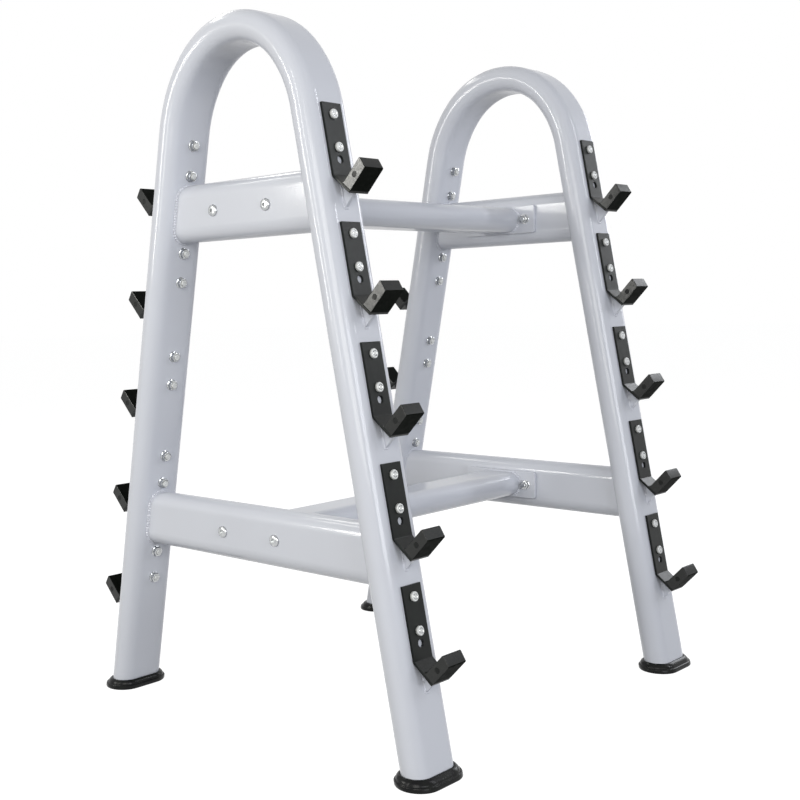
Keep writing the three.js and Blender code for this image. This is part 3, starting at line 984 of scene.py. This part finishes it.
def build_tie_bolt(where, side, nut):
    """The bolt through a crossbar and end plate, and its nut on the plate. Both lie along X."""
    low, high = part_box(f"tie_bolt_{where}")
    nut_low, nut_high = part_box(f"tie_nut_{where}")
    y, z = (nut_low.y + nut_high.y) / 2, (nut_low.z + nut_high.z) / 2
    outer = side * max(abs(low.x), abs(high.x))
    seat = side * (max(abs(nut_low.x), abs(nut_high.x)) + GAP)
    turn = Matrix.Rotation(-side * math.pi / 2, 4, "Z")
    length = high.x - low.x - HEAD_HEIGHT
    bolt = bolt_mesh(length, socket_top(), DOME_RADIUS, DOME_FLAT, NUT)
    head = Matrix.Translation((outer - side * HEAD_HEIGHT, y, z)) @ turn
    inside = Matrix.Translation((seat, y, z)) @ turn
    place(f"joint_bolt_{where}", bolt, head, [f"tie_bolt_{where}"])
    place(f"joint_nut_{where}", nut, inside, [f"tie_nut_{where}"])


# Studio

IMAGE_SIZE = 800
SENSOR = 36
FOCAL_PIXELS = 1177.6
OPTICAL_CENTRE = (270, 428)  # pixel of the photograph that the camera looks straight at
CAMERA_PLACE = Vector((-2.0083, -1.6536, 0.8340))
CAMERA_YAW = 0.7740  # radians, from +Y towards +X
CAMERA_PITCH = -0.1037
CAMERA_ROLL = -0.0266

FLOOR_SIZE = 60
FLOOR_CORNERS = ((-1, -1), (1, -1), (1, 1), (-1, 1))
FLOOR_COLOUR = (0.26, 0.26, 0.26, 1)
FLOOR_ROUGHNESS = 0.9
FLOOR_GLOW = 0.95
WHITE = (1, 1, 1, 1)
WORLD_COLOUR = (0.97, 0.98, 1.0, 1)
WORLD_LIGHT = 0.18

WARM = (1.0, 0.99, 0.94)
COOL = (0.93, 0.955, 1.0)
LAMPS = [  # name, direction, distance, width and height, watts, colour
    ("lamp_key", (20, 9), 4.5, (1.8, 1.4), 65, COOL),
    ("lamp_corner", (58, 14), 3.2, (1.4, 1.4), 33, WARM),
    ("lamp_left", (96, 16), 3.4, (0.30, 1.8), 19, WARM),
    ("lamp_side", (123.5, 15.5), 3.64, (0.5, 0.7), 25, WARM),
    ("lamp_arm", (119.8, 5.6), 3.47, (0.40, 0.42), 11, WARM),
    ("lamp_line", (-37, 28), 3.8, (0.2, 1.7), 24, COOL),
    ("lamp_right", (-82, 17), 3.8, (1.4, 1.3), 34, COOL),
    ("lamp_back", (178, 48), 3.6, (2.4, 0.3), 17, WARM),
]


def build_camera():
    """The photograph's camera, whose optical centre is off the picture's middle."""
    data = bpy.data.cameras.new("camera")
    data.sensor_width = SENSOR
    data.lens = FOCAL_PIXELS / IMAGE_SIZE * SENSOR
    data.shift_x = 0.5 - OPTICAL_CENTRE[0] / IMAGE_SIZE
    data.shift_y = OPTICAL_CENTRE[1] / IMAGE_SIZE - 0.5
    camera = bpy.data.objects.new("camera", data)
    level = math.cos(CAMERA_PITCH)
    ahead = Vector(
        (math.sin(CAMERA_YAW) * level, math.cos(CAMERA_YAW) * level, math.sin(CAMERA_PITCH))
    )
    right = Vector((math.cos(CAMERA_YAW), -math.sin(CAMERA_YAW), 0))
    up = right.cross(ahead)
    tilted_right = right * math.cos(CAMERA_ROLL) + up * math.sin(CAMERA_ROLL)
    tilted_up = up * math.cos(CAMERA_ROLL) - right * math.sin(CAMERA_ROLL)
    turn = Matrix((tilted_right, tilted_up, -ahead)).transposed().to_4x4()
    camera.matrix_world = Matrix.Translation(CAMERA_PLACE) @ turn
    scene.collection.objects.link(camera)
    scene.camera = camera


def seen_directly(tree):
    """1 for rays from the camera, and for those that glossy or clear surfaces send on."""
    path = tree.nodes.new("ShaderNodeLightPath")
    total = path.outputs["Is Camera Ray"]
    for name in ("Is Glossy Ray", "Is Transmission Ray"):
        node = tree.nodes.new("ShaderNodeMath")
        node.operation = "MAXIMUM"
        tree.links.new(total, node.inputs[0])
        tree.links.new(path.outputs[name], node.inputs[1])
        total = node.outputs[0]
    return total


def build_floor():
    """A plain grey floor that keeps the shadow and looks white."""
    bm = bmesh.new()
    half = FLOOR_SIZE / 2
    bm.faces.new([bm.verts.new((x * half, y * half, 0)) for x, y in FLOOR_CORNERS])
    mesh = bpy.data.meshes.new("floor")
    bm.to_mesh(mesh)
    bm.free()
    material, tree, shader = new_material("floor")
    shader.inputs["Base Color"].default_value = FLOOR_COLOUR
    shader.inputs["Roughness"].default_value = FLOOR_ROUGHNESS
    shader.inputs["Specular IOR Level"].default_value = 0.0
    glow = tree.nodes.new("ShaderNodeEmission")
    glow.inputs["Color"].default_value = WHITE
    strength = tree.nodes.new("ShaderNodeMath")
    strength.operation = "MULTIPLY"
    strength.inputs[1].default_value = FLOOR_GLOW
    tree.links.new(seen_directly(tree), strength.inputs[0])
    tree.links.new(strength.outputs[0], glow.inputs["Strength"])
    both = tree.nodes.new("ShaderNodeAddShader")
    tree.links.new(shader.outputs[0], both.inputs[0])
    tree.links.new(glow.outputs[0], both.inputs[1])
    tree.links.new(both.outputs[0], tree.nodes["Material Output"].inputs["Surface"])
    mesh.materials.append(material)
    floor = bpy.data.objects.new("floor", mesh)
    scene.collection.objects.link(floor)


def build_world():
    """A weak soft light from all sides, which looks white where it is seen."""
    world = bpy.data.worlds.new("studio")
    world.use_nodes = True
    scene.world = world
    tree = world.node_tree
    tree.nodes.clear()
    soft = tree.nodes.new("ShaderNodeBackground")
    soft.inputs["Color"].default_value = WORLD_COLOUR
    soft.inputs["Strength"].default_value = WORLD_LIGHT
    white = tree.nodes.new("ShaderNodeBackground")
    white.inputs["Color"].default_value = WHITE
    white.inputs["Strength"].default_value = 1.0
    mix = tree.nodes.new("ShaderNodeMixShader")
    output = tree.nodes.new("ShaderNodeOutputWorld")
    tree.links.new(seen_directly(tree), mix.inputs["Fac"])
    tree.links.new(soft.outputs[0], mix.inputs[1])
    tree.links.new(white.outputs[0], mix.inputs[2])
    tree.links.new(mix.outputs[0], output.inputs["Surface"])


def softbox(name, direction, distance, size, power, colour):
    """A lamp that looks at the rack's middle.

    Direction is in degrees, from -Y towards -X and up from the floor.
    """
    round_angle, height_angle = (math.radians(angle) for angle in direction)
    towards = Vector(
        (
            -math.sin(round_angle) * math.cos(height_angle),
            -math.cos(round_angle) * math.cos(height_angle),
            math.sin(height_angle),
        )
    )
    target = Vector((0, 0, cad_box[1].z / 2))
    data = bpy.data.lights.new(name, "AREA")
    data.shape = "RECTANGLE"
    data.size, data.size_y = size
    data.energy = power
    data.color = colour
    lamp = bpy.data.objects.new(name, data)
    lamp.location = target + towards * distance
    lamp.rotation_mode = "QUATERNION"
    lamp.rotation_quaternion = towards.to_track_quat("Z", "Y")
    scene.collection.objects.link(lamp)


def build_studio():
    build_camera()
    build_floor()
    build_world()
    for lamp in LAMPS:
        softbox(*lamp)
    scene.view_settings.view_transform = "Standard"


build_studio()
build_frames()
build_ties()
build_hooks()
